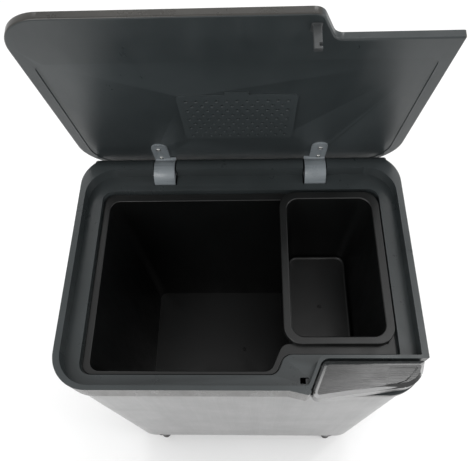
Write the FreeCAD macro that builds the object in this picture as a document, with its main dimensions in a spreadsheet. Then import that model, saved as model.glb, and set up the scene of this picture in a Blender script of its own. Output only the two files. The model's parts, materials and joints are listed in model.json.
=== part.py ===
import FreeCAD, Part
import math
import os
import re

# A rectangular steel kitchen waste bin with a touch-open lid, a large bucket and a small caddy.
# Millimetres. X to the right, Y to the back, Z up, origin on the floor at the middle of the bin.
# The lid is drawn closed, in a frame whose origin is its hinge axis, and then turned open.

doc = FreeCAD.newDocument("touch_bin")

# ---------------------------------------------------------------- driving dimensions
SIZES = {
    # overall
    "rim_width": 545, "rim_depth": 400, "rim_corner": 55, "body_height": 610, "leg_height": 85,
    # steel shell and base
    "shell_wall": 0.9, "shell_gap": 0.4,
    "pan_wall": 3, "pan_lip": 22, "pan_gap": 0.3,
    # legs
    "leg_radius": 10, "leg_collar": 14, "leg_collar_height": 5, "leg_x_inset": 67.5, "leg_y_inset": 16,
    "pad_height": 5, "pad_radius": 11, "pad_socket": 2, "leg_screw_radius": 3, "leg_screw_length": 30,
    "screw_slack": 0.1,
    # rim frame
    "band_height": 49, "band_wall": 2.6, "frame_wall": 3, "seat_width": 4,
    "side_rim": 10, "front_rim": 7, "back_rim": 28, "strip_rim": 5,
    "recess_depth": 22, "recess_corner": 48, "shelf_drop": 12, "bucket_clearance": 2,
    "back_cut_inset": 19,
    # corner notch for the touch bar
    "notch_width": 171, "notch_depth": 45.5, "notch_lean": 0.44, "notch_corner": 14, "tray_drop": 36,
    "cheek_width": 30, "cheek_swell": 6,
    # main bucket
    "opening_side": 47.5, "opening_front": 33.5, "opening_back": 74, "opening_diagonal": 62.6,
    "opening_step": 29.5, "opening_corner": 16, "bucket_wall": 2.5, "bucket_depth": 439,
    "flange_side": 11, "flange_front": 5.5, "flange_back": 14, "flange_diagonal": 9, "flange_step": 17,
    "flange_height": 3, "draft_side": 19, "draft_front": 26, "draft_back": 7, "flange_round": 1.2,
    # caddy
    "caddy_width": 168, "caddy_back": 64, "caddy_front_gap": 25.2, "caddy_rim": 12, "caddy_rim_side": 14,
    "caddy_corner": 28, "caddy_rise": 11, "caddy_wall": 2.2, "caddy_depth": 215, "caddy_draft": 12,
    "caddy_round": 6, "caddy_rim_round": 1.9,
    # touch bar
    "bar_gap": 2.5, "bar_nose": 11, "bar_slope": 0.136, "bar_side": 6, "bar_lean": 0.3, "bar_height": 27.5,
    "bar_wall": 1.2, "bar_fall": 4.2, "bar_bevel": 6.5, "bar_corner": 37, "bar_drop": 0.8, "carrier_height": 8.5,
    "dimple_near": 60, "dimple_far": 18, "dimple_back": 12, "dimple_depth": 0.7,
    "bar_pivot_inset": 26.5, "bar_pivot_drop": 20, "bar_pin_radius": 2, "bar_pin_gap": 0.05, "bar_barrel": 4.2,
    "bar_ear": 3.5, "bar_pivot_front": 19.5, "bar_barrel_length": 9.4, "side_gap": 0.3,
    "bar_spring_radius": 4.5, "bar_spring_wire": 0.6, "bar_spring_turns": 7, "bar_spring_x": 71,
    "bar_spring_y": 22,
    # latch
    "latch_y": 18, "latch_width": 8, "latch_height": 3, "latch_drop": 25.6, "latch_offset": 1, "latch_reach": 3,
    "latch_length": 42, "latch_head": 9, "latch_post": 3.6, "latch_ramp": 6, "latch_rail": 2.5,
    "cam_width": 6, "cam_gap": 0.57, "cam_rise": 5.4,
    "slot_slack": 1.5,
    # lid
    "lid_angle": 79.5, "lid_gap": 0.5, "lid_edge": 10.5, "lid_skin": 3.5, "lid_wall": 3, "lid_rear_corner": 83,
    "lid_edge_round": 2.5, "cover_thickness": 1.6, "cover_inset": 1.2, "cover_round": 1.1,
    "panel_recess": 1.2, "panel_corner": 14, "panel_side": 17, "panel_front": 84, "panel_back": 6, "lid_tip_corner": 16,
    # hinge
    "hinge_inset": 21, "hinge_drop": 25, "hinge_x": 131, "arm_width": 36, "arm_radius": 24,
    "arm_thickness": 3, "arm_start": 118, "arm_cheek": 4, "plate_x": 136, "plate_width": 27,
    "plate_front": 66, "plate_thickness": 3, "hinge_pin_radius": 3, "hinge_fit": 0.05, "hinge_boss": 8,
    "plate_rear": 9, "arm_screw_front": 49, "arm_screw_back": 18.5, "arm_screw_head": 4, "arm_screw_shank": 1.9,
    "arm_screw_cap": 1.6, "lug_radius": 7, "lug_width": 3, "lug_slack": 0.4, "bracket_plate": 3, "bracket_height": 22,
    "bracket_screw_radius": 2, "screw_bite": 2, "slot_front_gap": 1.2, "slot_side_gap": 1.5, "slot_inner_gap": 3,
    "slot_rise": 11.8,
    "hinge_spring_radius": 4.2, "hinge_spring_wire": 0.8, "hinge_spring_turns": 4,
    # odour filter
    "filter_width": 172, "filter_length": 129, "filter_back": 109, "filter_x": 1, "filter_corner": 8,
    "filter_thickness": 1.7, "filter_hook_x": 60, "filter_hook_width": 16, "filter_hook_wall": 1.5,
    "filter_hook_rise": 4, "filter_tab": 34, "filter_tab_reach": 6.5, "filter_ledge": 6, "pad_thickness": 5,
    "filter_gap": 0.3,
    # striker on the lid
    "striker_width": 10, "striker_thickness": 6, "striker_length": 33, "striker_base": 2,
    "striker_flange": 7, "striker_screw_radius": 2.4, "striker_slack": 0.8,
}

# Values worked out from the driving dimensions, as expressions in the same names.
DERIVED = {
    "rim_top": "leg_height + body_height",
    "half_width": "rim_width / 2",
    "half_depth": "rim_depth / 2",
    "shell_inset": "band_wall + shell_gap",
    "tray_top": "rim_top - tray_drop",
    "tray_low": "rim_top - tray_drop - frame_wall",
    "ledge_top": "rim_top - recess_depth",
    "ledge_low": "rim_top - recess_depth - frame_wall",
    "shelf_top": "rim_top - recess_depth - shelf_drop",
    "shelf_low": "rim_top - recess_depth - shelf_drop - frame_wall",
    "flange_low": "rim_top - recess_depth - shelf_drop + side_gap",
    "flange_top": "flange_low + flange_height",
    "floor_top": "flange_top - bucket_depth",
    "caddy_top": "flange_top + caddy_rise",
    "caddy_floor": "flange_top + caddy_rise - caddy_depth",
    "slant": "sqrt(1 + notch_lean * notch_lean)",
    "notch_x": "rim_width / 2 - notch_width",
    "notch_y": "-rim_depth / 2 + notch_depth",
    "pivot_y": "rim_depth / 2 - hinge_inset",
    "pivot_z": "rim_top - hinge_drop",
    "lid_low": "rim_top + lid_gap",
    "lid_high": "rim_top + lid_gap + lid_edge",
    "lid_face": "rim_top + lid_gap + panel_recess",
    "skin_top": "rim_top + lid_gap + lid_skin",
    "bar_top": "rim_top - bar_drop",
    "bar_low": "rim_top - bar_drop - bar_height",
    "bar_pivot_x": "rim_width / 2 - bar_pivot_inset",
    "bar_pivot_z": "rim_top - bar_pivot_drop",
    "latch_mid": "-rim_depth / 2 + latch_y",
    "latch_top": "rim_top - latch_drop",
    "strike_x": "notch_x - latch_offset",
    "caddy_right": "rim_width / 2 - opening_side + flange_side",
    "caddy_left": "caddy_right - caddy_width",
    "caddy_rear": "rim_depth / 2 - caddy_back",
    "caddy_fore": "notch_y + caddy_front_gap",
    "filter_rear": "rim_depth / 2 - filter_back",
    "filter_fore": "rim_depth / 2 - filter_back - filter_length",
    "cam_x": "notch_x + latch_length - 8",
    "pad_screw_x": "(plate_x + 1.5)",
    "strike_screw_y": "latch_mid + striker_thickness / 2 + striker_flange / 2",
    "slot_inner": "hinge_x - arm_width / 2 - slot_inner_gap",
    "slot_outer": "hinge_x + arm_width / 2 + slot_side_gap",
    "slot_front": "pivot_y - arm_radius - slot_front_gap",
}

sheet = doc.addObject("Spreadsheet::Sheet", "Sizes")
for row, (alias, number) in enumerate(SIZES.items(), start=1):
    sheet.set(f"A{row}", alias)
    sheet.set(f"B{row}", str(number))
    sheet.setAlias(f"B{row}", alias)
doc.recompute()


def bound(text):
    """Turn a formula in plain size names into a FreeCAD expression on the spreadsheet."""
    def swap(match):
        word = match.group()
        if word in DERIVED:
            return "(" + bound(DERIVED[word]) + ")"
        return "Sizes." + word if word in SIZES else word
    return re.sub(r"[a-z_]+", swap, str(text))


def value(text):
    """The number that a formula has now."""
    result = sheet.evalExpression(bound(text))
    return float(getattr(result, "Value", result))


def bind(obj, path, text):
    obj.setExpression(path, bound(text))


# ---------------------------------------------------------------- outlines
def rectangle(left, right, front, back, corner):
    """Four rounded corners, each an x, a y and a radius."""
    return [(left, back, corner), (left, front, corner), (right, front, corner), (right, back, corner)]


def full_outline(inset):
    """The rim's plain outline, without the notch, moved in by inset."""
    side, edge = f"half_width - {inset}", f"half_depth - {inset}"
    return rectangle(f"-({side})", side, f"-({edge})", edge, f"rim_corner - {inset}")


def notched_outline(side, front, back, diagonal, step, rear, corner, bend="notch_corner", tip="8"):
    """The rim's outline with the touch bar's corner left out, moved in by its own inset on each stretch."""
    near = f"(half_depth - ({front}))"
    deep = f"(notch_y + ({step}))"
    slanting = f"notch_x - ({diagonal}) * slant + notch_lean * "
    return [
        (f"-(half_width - ({side}))", f"half_depth - ({back})", rear),
        (f"-(half_width - ({side}))", f"-{near}", corner),
        (f"{slanting} (half_depth - {near})", f"-{near}", tip),
        (f"{slanting} (notch_depth + ({step}))", deep, bend),
        (f"half_width - ({side})", deep, "2"),
        (f"half_width - ({side})", f"half_depth - ({back})", rear),
    ]


def recess_outline(grow="0"):
    """The recess that the lid covers; grow moves it outwards."""
    return notched_outline(f"side_rim - {grow}", f"front_rim - {grow}", f"back_rim - {grow}",
                           f"strip_rim - {grow}", f"strip_rim - {grow}",
                           f"recess_corner + {grow}", f"recess_corner + {grow}")


def opening_outline(grow="0", shrink=("0", "0", "0")):
    """The main bucket's mouth; grow moves it outwards and shrink is the draft at side, front and back."""
    side, front, back = shrink
    return notched_outline(f"opening_side - {grow} + {side}", f"opening_front - {grow} + {front}",
                           f"opening_back - {grow} + {back}", f"opening_diagonal - {grow} + {side}",
                           f"opening_step - {grow} + {front}", f"opening_corner + {grow}",
                           f"opening_corner + {grow}", "opening_corner", "opening_corner")


def flange_outline(grow="0"):
    """The main bucket's flange; grow moves it outwards."""
    return notched_outline(f"opening_side - flange_side - {grow}", f"opening_front - flange_front - {grow}",
                           f"opening_back - flange_back - {grow}",
                           f"opening_diagonal - flange_diagonal - {grow}", f"opening_step - flange_step - {grow}",
                           f"opening_corner + {grow}", f"opening_corner + {grow}", "opening_corner",
                           "opening_corner")


def lid_outline(inset="0"):
    return notched_outline(inset, inset, inset, inset, inset, f"lid_rear_corner - {inset}",
                           f"rim_corner - {inset}", f"notch_corner + {inset}", f"lid_tip_corner - {inset}")


def caddy_outline(inset="0", corner="caddy_corner"):
    return rectangle(f"caddy_left + {inset}", f"caddy_right - {inset}", f"caddy_fore + {inset}",
                     f"caddy_rear - {inset}", corner)


def bar_outline(inset="0"):
    """The touch bar from above: a nose at its left, and the bin's own corner at its right."""
    right = f"half_width - bar_side - {inset}"
    left = f"notch_x + (bar_gap + {inset}) * slant + notch_lean * "
    nose = f"(-half_depth - bar_nose - bar_gap / 2 + {inset})"
    fall = "bar_slope * (notch_width - 18)"
    return [
        (f"{left} (notch_depth - bar_gap - {inset})", f"notch_y - bar_gap - {inset}", f"10 - {inset}"),
        (f"{left} ({nose} + half_depth)", nose, f"9 - {inset}"),
        (f"{right} - bar_lean * (notch_depth - bar_gap - {inset} - half_depth - {nose} - {fall})",
         f"{nose} + {fall}", f"bar_corner - {inset}"),
        (right, f"notch_y - bar_gap - {inset}", "2"),
    ]


def circle(x, y, radius):
    return ("circle", x, y, radius)


# ---------------------------------------------------------------- sketches and features
def draw_circle(sketch, outline, count):
    _, x, y, radius = outline
    centre = FreeCAD.Vector(value(x), value(y), 0)
    edge = sketch.addGeometry(Part.Circle(centre, FreeCAD.Vector(0, 0, 1), value(radius)))
    for kind, text in (("DistanceX", x), ("DistanceY", y)):
        constraint(sketch, f"{kind}{count}", text, kind, -1, 1, edge, 3)
    constraint(sketch, f"Radius{count}", radius, "Radius", edge)


def constraint(sketch, name, text, kind, *where):
    """A dimension of the sketch, named and bound to its formula."""
    import Sketcher
    index = sketch.addConstraint(Sketcher.Constraint(kind, *where, value(text)))
    sketch.renameConstraint(index, name)
    bind(sketch, f"Constraints.{name}", text)


def draw_outline(sketch, corners, count):
    """A closed polygon with rounded corners, held by its true corners and its radii."""
    import Sketcher
    size = len(corners)
    points = [FreeCAD.Vector(value(x), value(y), 0) for x, y, _ in corners]
    ends = []
    for i, (_, _, radius) in enumerate(corners):
        back = (points[i - 1] - points[i]).normalize()
        ahead = (points[(i + 1) % size] - points[i]).normalize()
        half = back.getAngle(ahead) / 2
        run = value(radius) / math.tan(half)
        middle = points[i] + (back + ahead).normalize() * (value(radius) / math.sin(half))
        ends.append((points[i] + back * run, points[i] + ahead * run, middle))
    lines = [sketch.addGeometry(Part.LineSegment(ends[i][1], ends[(i + 1) % size][0])) for i in range(size)]
    for i, (x, y, radius) in enumerate(corners):
        first, last, middle = ends[i]
        bulge = middle + (points[i] - middle).normalize() * value(radius)
        arc = sketch.addGeometry(Part.Arc(first, bulge, last))
        turning = (first - middle).cross(last - middle).z
        start, stop = (1, 2) if turning > 0 else (2, 1)
        sketch.addConstraint(Sketcher.Constraint("Tangent", lines[i - 1], 2, arc, start))
        sketch.addConstraint(Sketcher.Constraint("Tangent", arc, stop, lines[i], 1))
        corner = sketch.addGeometry(Part.Point(points[i]), True)
        sketch.addConstraint(Sketcher.Constraint("PointOnObject", corner, 1, lines[i - 1]))
        sketch.addConstraint(Sketcher.Constraint("PointOnObject", corner, 1, lines[i]))
        constraint(sketch, f"X{count}_{i}", x, "DistanceX", -1, 1, corner, 1)
        constraint(sketch, f"Y{count}_{i}", y, "DistanceY", -1, 1, corner, 1)
        constraint(sketch, f"R{count}_{i}", radius, "Radius", arc)


def draw_polygon(sketch, corners, count):
    """A closed polygon with sharp corners, each held by its distances from the origin."""
    import Sketcher
    size = len(corners)
    points = [FreeCAD.Vector(value(x), value(y), 0) for x, y in corners]
    lines = [sketch.addGeometry(Part.LineSegment(points[i], points[(i + 1) % size])) for i in range(size)]
    for i, (x, y) in enumerate(corners):
        sketch.addConstraint(Sketcher.Constraint("Coincident", lines[i - 1], 2, lines[i], 1))
        constraint(sketch, f"X{count}_{i}", x, "DistanceX", -1, 1, lines[i], 1)
        constraint(sketch, f"Y{count}_{i}", y, "DistanceY", -1, 1, lines[i], 1)


class Piece:
    """One sub-part as a PartDesign body: outlines padded, cut, lofted and rounded."""

    def __init__(self, label, on_lid=False):
        self.body = doc.addObject("PartDesign::Body", label)
        self.body.Label = label
        self.on_lid = on_lid
        self.count = 0
        if on_lid:
            turn = FreeCAD.Rotation(FreeCAD.Vector(-1, 0, 0), value("lid_angle"))
            self.body.Placement = FreeCAD.Placement(FreeCAD.Vector(), turn)
            bind(self.body, "Placement.Rotation.Angle", "lid_angle")
            bind(self.body, "Placement.Base.y", "pivot_y")
            bind(self.body, "Placement.Base.z", "pivot_z")

    def sketch(self, outlines, level, plane):
        """Outlines on a plane at a level; on the lid, all places are given as on the closed bin."""
        self.count += 1
        sketch = self.body.newObject("Sketcher::SketchObject", f"{self.body.Name}_sketch{self.count}")
        origin = [face for face in self.body.Origin.OriginFeatures if face.Role == f"{plane}_Plane"]
        sketch.AttachmentSupport = [(origin[0], "")]
        sketch.MapMode = "FlatFace"
        shift = {"XY": ("0", "pivot_y", "pivot_z"), "YZ": ("pivot_y", "pivot_z", "0"),
                 "XZ": ("0", "pivot_z", "pivot_y")}[plane]
        x_shift, y_shift, z_shift = shift if self.on_lid else ("0", "0", "0")
        side = "-" if plane == "XZ" else ""
        bind(sketch, "AttachmentOffset.Base.x", f"-({x_shift})")
        bind(sketch, "AttachmentOffset.Base.y", f"-({y_shift})")
        bind(sketch, "AttachmentOffset.Base.z", f"{side}(({level}) - ({z_shift}))")
        for count, outline in enumerate(outlines):
            if outline[0] == "circle":
                draw_circle(sketch, outline, count)
            elif len(outline[0]) == 2:
                draw_polygon(sketch, outline, count)
            else:
                draw_outline(sketch, outline, count)
        return sketch

    def feature(self, kind):
        self.count += 1
        return self.body.newObject(f"PartDesign::{kind}", f"{self.body.Name}_{kind}{self.count}")

    def pad(self, outlines, low, high, plane="XY"):
        pad = self.feature("Pad")
        pad.Profile = self.sketch(outlines, high if plane == "XZ" else low, plane)
        bind(pad, "Length", f"({high}) - ({low})")
        doc.recompute()
        return self

    def pocket(self, outlines, low, high, plane="XY"):
        before = self.body.Shape.Volume
        pocket = self.feature("Pocket")
        pocket.Profile = self.sketch(outlines, low if plane == "XZ" else high, plane)
        bind(pocket, "Length", f"({high}) - ({low})")
        doc.recompute()
        if self.body.Shape.Volume > before - 1e-6:
            raise RuntimeError(f"{pocket.Name} cuts nothing")
        return self

    def loft(self, kind, lower, low, upper, high):
        loft = self.feature(kind)
        loft.Profile = self.sketch([lower], low, "XY")
        loft.Sections = [(self.sketch([upper], high, "XY"), "")]
        loft.Ruled = True
        doc.recompute()
        return self

    def round(self, radius, chosen, kind="Fillet"):
        """Round the edges whose middle point, in the body's own frame, is chosen."""
        tip = self.body.Tip
        names = []
        for number, edge in enumerate(tip.Shape.Edges, start=1):
            middle = edge.valueAt((edge.FirstParameter + edge.LastParameter) / 2)
            box = edge.BoundBox
            if chosen(middle, box):
                names.append(f"Edge{number}")
        if not names:
            raise RuntimeError(f"{self.body.Label} has no edge to round")
        feature = self.feature(kind)
        feature.Base = (tip, names)
        bind(feature, "Radius" if kind == "Fillet" else "Size", radius)
        doc.recompute()
        return self


def near(number, target, slack=0.05):
    return abs(number - target) < slack


def flat_at(level):
    """Chooses edges that lie in one level plane."""
    return lambda middle, box: near(box.ZMin, level) and near(box.ZMax, level)


def cylinder(label, radius, height, x, y, z, axis=(0, 0, 1)):
    """A Part cylinder whose axis is Z, X or Y."""
    rod = doc.addObject("Part::Cylinder", label)
    turn = FreeCAD.Rotation(FreeCAD.Vector(0, 0, 1), FreeCAD.Vector(*axis))
    rod.Placement = FreeCAD.Placement(FreeCAD.Vector(), turn)
    bind(rod, "Radius", radius)
    bind(rod, "Height", height)
    for letter, text in zip("xyz", (x, y, z)):
        bind(rod, f"Placement.Base.{letter}", text)
    return rod


def union(label, shapes):
    joined = doc.addObject("Part::MultiFuse", label)
    joined.Shapes = shapes
    return joined


def group(label, shapes):
    """Separate solids that share one node."""
    compound = doc.addObject("Part::Compound", label)
    compound.Links = shapes
    return compound


def coil(label, radius, wire, turns, length, x, y, z, axis=(0, 0, 1)):
    """A helical spring whose middle line starts at a point and runs along an axis."""
    path = doc.addObject("Part::Helix", f"{label}_path")
    bind(path, "Radius", radius)
    bind(path, "Height", length)
    bind(path, "Pitch", f"({length}) / ({turns})")
    ring = doc.addObject("Part::Circle", f"{label}_wire")
    bind(ring, "Radius", wire)
    ring.Placement = FreeCAD.Placement(FreeCAD.Vector(), FreeCAD.Rotation(FreeCAD.Vector(1, 0, 0), 90))
    bind(ring, "Placement.Base.x", radius)
    spring = doc.addObject("Part::Sweep", label)
    spring.Sections = [ring]
    spring.Spine = (path, ["Edge1"])
    spring.Solid = True
    spring.Frenet = True
    turn = FreeCAD.Rotation(FreeCAD.Vector(0, 0, 1), FreeCAD.Vector(*axis))
    spring.Placement = FreeCAD.Placement(FreeCAD.Vector(), turn)
    for letter, text in zip("xyz", (x, y, z)):
        bind(spring, f"Placement.Base.{letter}", text)
    return spring


NODES = []


def keep(thing, label=None):
    """Marks an object as one of the bin's nodes."""
    obj = thing.body if isinstance(thing, Piece) else thing
    obj.Label = label or obj.Label
    NODES.append(obj)
    return obj


# ---------------------------------------------------------------- body
def make_shell():
    shell = Piece("body_shell")
    outlines = [full_outline("shell_inset"), full_outline("(shell_inset + shell_wall)")]
    shell.pad(outlines, "leg_height", "tray_low - side_gap")
    keep(shell)


def make_base():
    inset = "(shell_inset + shell_wall + pan_gap)"
    pan = Piece("base_pan")
    pan.pad([full_outline(inset)], "leg_height", "leg_height + pan_wall")
    pan.pad([full_outline(inset), full_outline(f"({inset} + pan_wall)")],
            "leg_height", "leg_height + pan_lip")
    holes = [circle(x, y, "leg_screw_radius + screw_slack") for _, x, y in leg_places()]
    pan.pocket(holes, "leg_height - 1", "leg_height + pan_wall + 1")
    keep(pan)


def leg_places():
    x, y = "(half_width - leg_x_inset)", "(half_depth - leg_y_inset)"
    return [("front_left", f"-{x}", f"-{y}"), ("front_right", x, f"-{y}"),
            ("rear_left", f"-{x}", y), ("rear_right", x, y)]


def make_legs():
    screws = []
    for corner, x, y in leg_places():
        leg = Piece(f"leg_{corner}")
        leg.pad([circle(x, y, "leg_radius")], "pad_height - pad_socket", "leg_height")
        leg.pad([circle(x, y, "leg_collar")], "leg_height - leg_collar_height", "leg_height")
        leg.pocket([circle(x, y, "leg_screw_radius + screw_slack")],
                   "leg_height - leg_screw_length - 2", "leg_height + 1")
        leg.round("1.5", lambda middle, box: near(box.ZMin, value("leg_height - leg_collar_height"))
                  and near(box.ZMax, box.ZMin) and box.XLength > value("leg_collar") * 1.9)
        keep(leg)
        pad = Piece(f"foot_pad_{corner}")
        pad.pad([circle(x, y, "pad_radius")], "0", "pad_height")
        pad.pocket([circle(x, y, "leg_radius + screw_slack / 2")], "pad_height - pad_socket", "pad_height + 1")
        pad.round("1.2", flat_at(0))
        keep(pad)
        shank = cylinder(f"leg_screw_shank_{corner}", "leg_screw_radius", "leg_screw_length + pan_wall",
                         x, y, "leg_height - leg_screw_length")
        head = cylinder(f"leg_screw_head_{corner}", "leg_screw_radius * 2", "leg_screw_radius",
                        x, y, "leg_height + pan_wall")
        screws.append(union(f"leg_screw_{corner}", [shank, head]))
    keep(group("leg_screws", screws))


# ---------------------------------------------------------------- rim frame
def make_frame():
    frame = Piece("rim_frame")
    full, inner = full_outline("0"), full_outline("band_wall")
    rim = notched_outline("0", "0", "0", "0", "0", "rim_corner", "rim_corner")
    rim_inner = notched_outline(*["band_wall"] * 5, "rim_corner - band_wall", "rim_corner - band_wall")
    frame.pad([full, inner], "rim_top - band_height", "tray_top")
    frame.pad([full_outline("band_wall / 2"), full_outline("(band_wall + seat_width)")], "tray_low", "tray_top")
    tray = [("notch_x - frame_wall", "-half_depth", "1"), ("half_width", "-half_depth", "rim_corner"),
            ("half_width", "notch_y + frame_wall", "1"),
            ("notch_x + notch_lean * notch_depth - frame_wall", "notch_y + frame_wall", "1")]
    frame.pad([tray], "tray_low", "tray_top")
    frame.pad([rim, rim_inner], "tray_low", "rim_top")
    frame.pad([rim, recess_outline()], "rim_top - frame_wall", "rim_top")
    frame.pad([recess_outline("frame_wall"), recess_outline()], "ledge_low", "rim_top")
    frame.pad([recess_outline("frame_wall"), flange_outline("bucket_clearance")], "ledge_low", "ledge_top")
    frame.pad([flange_outline("(bucket_clearance + frame_wall)"), flange_outline("bucket_clearance")],
              "shelf_low", "ledge_top")
    frame.pad([flange_outline("(bucket_clearance + frame_wall)"),
               opening_outline("(bucket_wall + bucket_clearance)")], "shelf_low", "shelf_top")
    cheek = [("notch_x - cheek_width", "-half_depth + band_wall / 2"), ("notch_x - cheek_width", "-half_depth"),
             ("notch_x - 4", "-half_depth - cheek_swell"), ("notch_x + 0.5", "-half_depth - cheek_swell + 3"),
             ("notch_x + notch_lean * band_wall / 2", "-half_depth + band_wall / 2")]
    frame.pad([cheek], "rim_top - band_height", "rim_top")
    make_back_rounding(frame)
    make_hinge_slots(frame)
    make_latch_room(frame)
    make_bar_ears(frame)
    make_screw_sockets(frame)
    edge = value("rim_top")
    frame.round("1", lambda middle, box: near(box.ZMin, edge) and near(box.ZMax, edge)
                and middle.y < value("pivot_y") - 5 and near_ring(box))
    keep(frame)


def near_ring(box):
    """The long edges of the rim's top face at the bin's outside and recess."""
    wide = value("half_width") - value("side_rim") - 0.5
    return max(abs(box.XMin), abs(box.XMax)) > wide and box.YLength > value("half_depth")


def make_back_rounding(frame):
    """The back of the rim is a part of a cylinder about the hinge axis, so that the lid rolls over it."""
    reach = "(half_width - back_cut_inset)"
    shell = hinge_arc("hinge_drop + 0.4", 90, 32) + hinge_arc("hinge_drop - frame_wall", 28, 90)
    frame.pad([shell], f"-{reach}", reach, plane="YZ")
    arc = hinge_arc("hinge_drop", 90, 32)
    outline = [("pivot_y", "rim_top + 6")] + arc + [("half_depth + 6", arc[-1][1]),
                                                  ("half_depth + 6", "rim_top + 6")]
    frame.pocket([outline], f"-{reach}", reach, plane="YZ")


def hinge_arc(radius, first, last, steps=12):
    """Points about the hinge axis, in Y and Z, from one angle above the back to another."""
    turns = [first + (last - first) * step / steps for step in range(steps + 1)]
    return [(f"pivot_y + ({radius}) * cos({turn:.2f} deg)", f"pivot_z + ({radius}) * sin({turn:.2f} deg)")
            for turn in turns]


def make_hinge_slots(frame):
    """Slots in the rim and its ledge, in which the lid's arms turn."""
    left = rectangle("-slot_outer", "-slot_inner", "slot_front", "half_depth - frame_wall - 2", "1")
    right = rectangle("slot_inner", "slot_outer", "slot_front", "half_depth - frame_wall - 2", "1")
    frame.pocket([left, right], "ledge_low - 1", "rim_top + 1")
    left = rectangle("-slot_outer", "-slot_inner", "pivot_y", "half_depth + 2", "1")
    right = rectangle("slot_inner", "slot_outer", "pivot_y", "half_depth + 2", "1")
    frame.pocket([left, right], "pivot_z + slot_rise", "rim_top + 1")


def make_latch_room(frame):
    """The striker's slot in the ledge, the latch's way through the notch's wall and its guide rails."""
    half = "striker_thickness / 2 + slot_slack"
    slot = rectangle("strike_x - striker_width - slot_slack", "strike_x + slot_slack",
                     f"latch_mid - ({half})", f"latch_mid + ({half})", "1.5")
    frame.pocket([slot], "ledge_low - 1", "ledge_top + 1")
    side = "(latch_width / 2 + side_gap)"
    way = rectangle("strike_x + 1", "notch_x + notch_depth", f"latch_mid - {side}", f"latch_mid + {side}", "0.2")
    frame.pocket([way], "latch_top - latch_height - side_gap", "ledge_low + 0.2")
    start = "notch_x + notch_lean * (latch_y + latch_width / 2 + latch_rail) + bar_gap * 2 + bar_wall"
    low = "tray_top"
    block = rectangle(start, "notch_x + latch_length", f"latch_mid - {side} - latch_rail",
                      f"latch_mid + {side} + latch_rail", "0.5")
    channel = rectangle(f"{start} - 1", "notch_x + latch_length + 1", f"latch_mid - {side}",
                        f"latch_mid + {side}", "0.2")
    frame.pad([block], low, "latch_top + 1.5")
    frame.pocket([channel], "latch_top - latch_height - side_gap", "latch_top + 3")


def make_bar_ears(frame):
    """Two ears on the notch's tray carry the touch bar's pin."""
    wide = "bar_barrel"
    for near_side in (True, False):
        edge = ear_edges(near_side)
        ear = rectangle(f"bar_pivot_x - {wide}", f"bar_pivot_x + {wide}", *edge, "0.5")
        frame.pad([ear], "tray_top - 0.5", "bar_pivot_z + bar_barrel")
    frame.pocket([circle("bar_pivot_x", "bar_pivot_z", "bar_pin_radius")],
                 ear_edges(True)[0] + " - 0.2", ear_edges(False)[1] + " + 0.2", plane="XZ")


def ear_edges(near_side):
    start = "(-half_depth + bar_pivot_front)"
    if near_side:
        return start, f"{start} + bar_ear"
    return (f"{start} + bar_ear + bar_barrel_length + 2 * side_gap",
            f"{start} + 2 * bar_ear + bar_barrel_length + 2 * side_gap")

# ---------------------------------------------------------------- buckets
def make_main_bucket():
    bucket = Piece("main_bucket")
    draft = ("draft_side", "draft_front", "draft_back")
    bucket.loft("AdditiveLoft", opening_outline("bucket_wall", draft), "floor_top - bucket_wall",
                opening_outline("bucket_wall"), "flange_top")
    bucket.pad([flange_outline(), opening_outline("bucket_wall / 2")], "flange_low", "flange_top")
    bucket.loft("SubtractiveLoft", opening_outline("0", draft), "floor_top", opening_outline(), "flange_top")
    bucket.round("flange_round", flat_at(value("flange_top")))
    keep(bucket)


def make_caddy():
    caddy = Piece("caddy_bucket")
    top, low = caddy_mouth("0"), caddy_mouth("caddy_draft")
    outer, outer_low = caddy_mouth("-caddy_wall"), caddy_mouth("(caddy_draft - caddy_wall)")
    caddy.loft("AdditiveLoft", outer_low, "caddy_floor - caddy_wall", outer, "caddy_top")
    caddy.pad([caddy_outline(), caddy_mouth("-caddy_wall / 2")], "caddy_top - caddy_wall", "caddy_top")
    caddy.pad([caddy_outline(), caddy_outline("caddy_wall", "caddy_corner - caddy_wall")],
              "flange_top + side_gap", "caddy_top")
    caddy.loft("SubtractiveLoft", low, "caddy_floor", top, "caddy_top")
    caddy.round("caddy_rim_round", flat_at(value("caddy_top")))
    caddy.round("caddy_round", flat_at(value("caddy_floor")))
    keep(caddy)


def caddy_mouth(inset):
    return rectangle(f"caddy_left + caddy_rim + {inset}", f"caddy_right - caddy_rim_side - {inset}",
                     f"caddy_fore + caddy_rim + {inset}", f"caddy_rear - caddy_rim_side - {inset}",
                     "caddy_corner - 8")


# ---------------------------------------------------------------- touch bar and latch
def dimple_outline():
    """The thumb's sunk field at the bar's outer end."""
    far, near_end, back = "half_width - dimple_far", "half_width - dimple_near", "notch_y - dimple_back"
    return [(f"{near_end} - 7", f"{back} - 25", "2"), (near_end, back, "3"), (far, back, "2"),
            (f"{far} - 7", f"{back} - 9", "8"), (f"{far} - 20", f"{back} - 19", "12")]


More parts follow.
